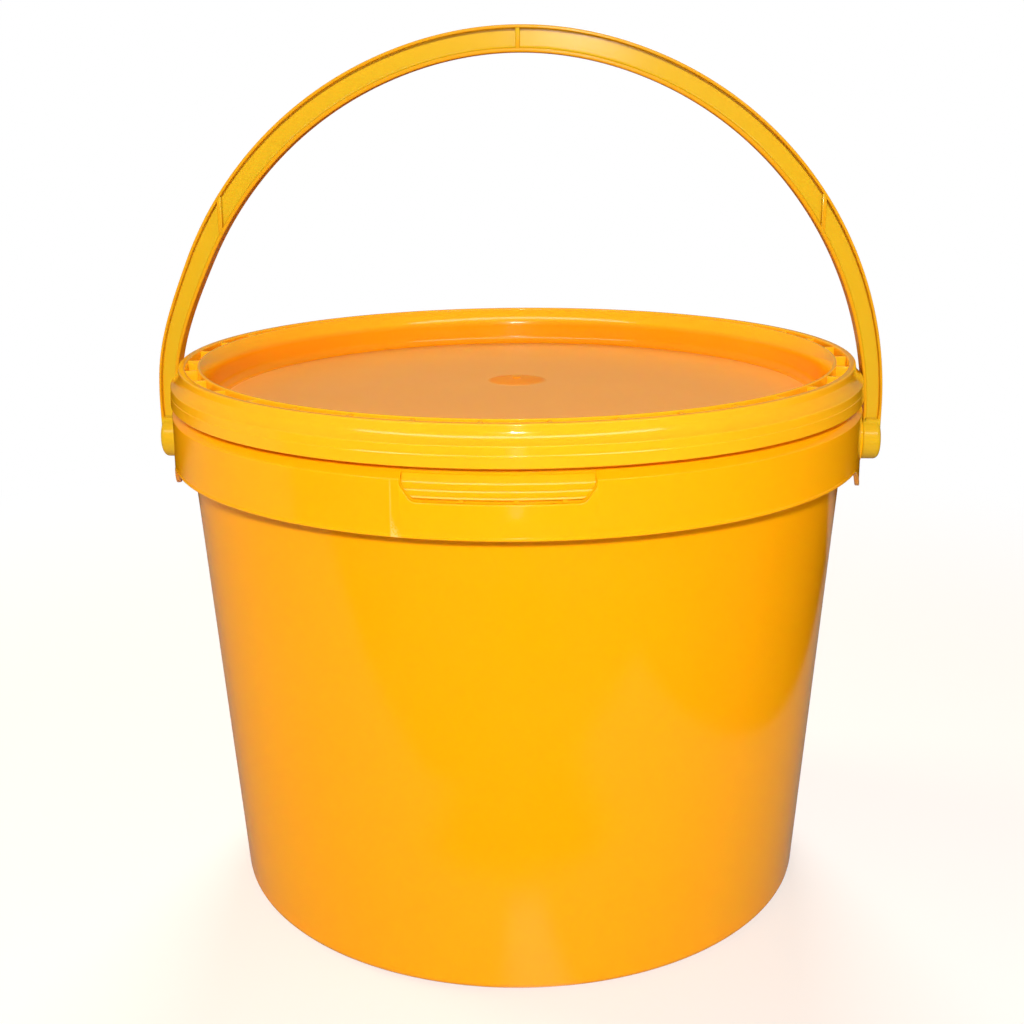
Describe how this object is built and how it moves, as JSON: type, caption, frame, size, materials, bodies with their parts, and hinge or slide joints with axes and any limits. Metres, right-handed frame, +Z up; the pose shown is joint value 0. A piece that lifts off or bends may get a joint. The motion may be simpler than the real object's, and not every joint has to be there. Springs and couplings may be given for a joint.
{
  "type": "lidded plastic pail with bail handle",
  "caption": "Honey-yellow moulded plastic pail with a ribbed snap lid, a break-off tear tab in the collar and an upright swinging bail handle",
  "frame": {"origin": "on the pail's axis at the surface it stands on", "axes": "+Z up along the pail's axis, -Y towards the tear tab at the front, X along the bail's pins"},
  "size_m": [0.2414, 0.226, 0.2805],
  "materials": {
    "pail_plastic": "glossy injection-moulded polypropylene, slightly translucent honey yellow-orange",
    "lid_plastic": "glossy injection-moulded polypropylene with a satin panel, honey yellow-orange",
    "bail_plastic": "glossy injection-moulded polypropylene, honey yellow",
    "tab_plastic": "glossy injection-moulded polypropylene, honey yellow-orange"
  },
  "bodies": {
    "pail": {"pail": "pail_plastic"},
    "lid": {"lid": "lid_plastic"},
    "bail": {"bail_handle": "bail_plastic"},
    "tab": {"tear_tab": "tab_plastic"}
  },
  "joints": [
    {"name": "bail_swing", "type": "hinge", "parent": "pail", "child": "bail", "pos_m": [0, 0, 0.1485], "axis": [1, 0, 0], "range_deg": [-118, 118]},
    {"name": "lid_lift", "type": "slide", "parent": "pail", "child": "lid", "axis": [0, 0, 1], "range_m": [0, 0.004]},
    {"name": "tear_tab_fold", "type": "hinge", "parent": "pail", "child": "tab", "pos_m": [0, -0.1129, 0.1565], "axis": [1, 0, 0], "range_deg": [0, 110]}
  ]
}
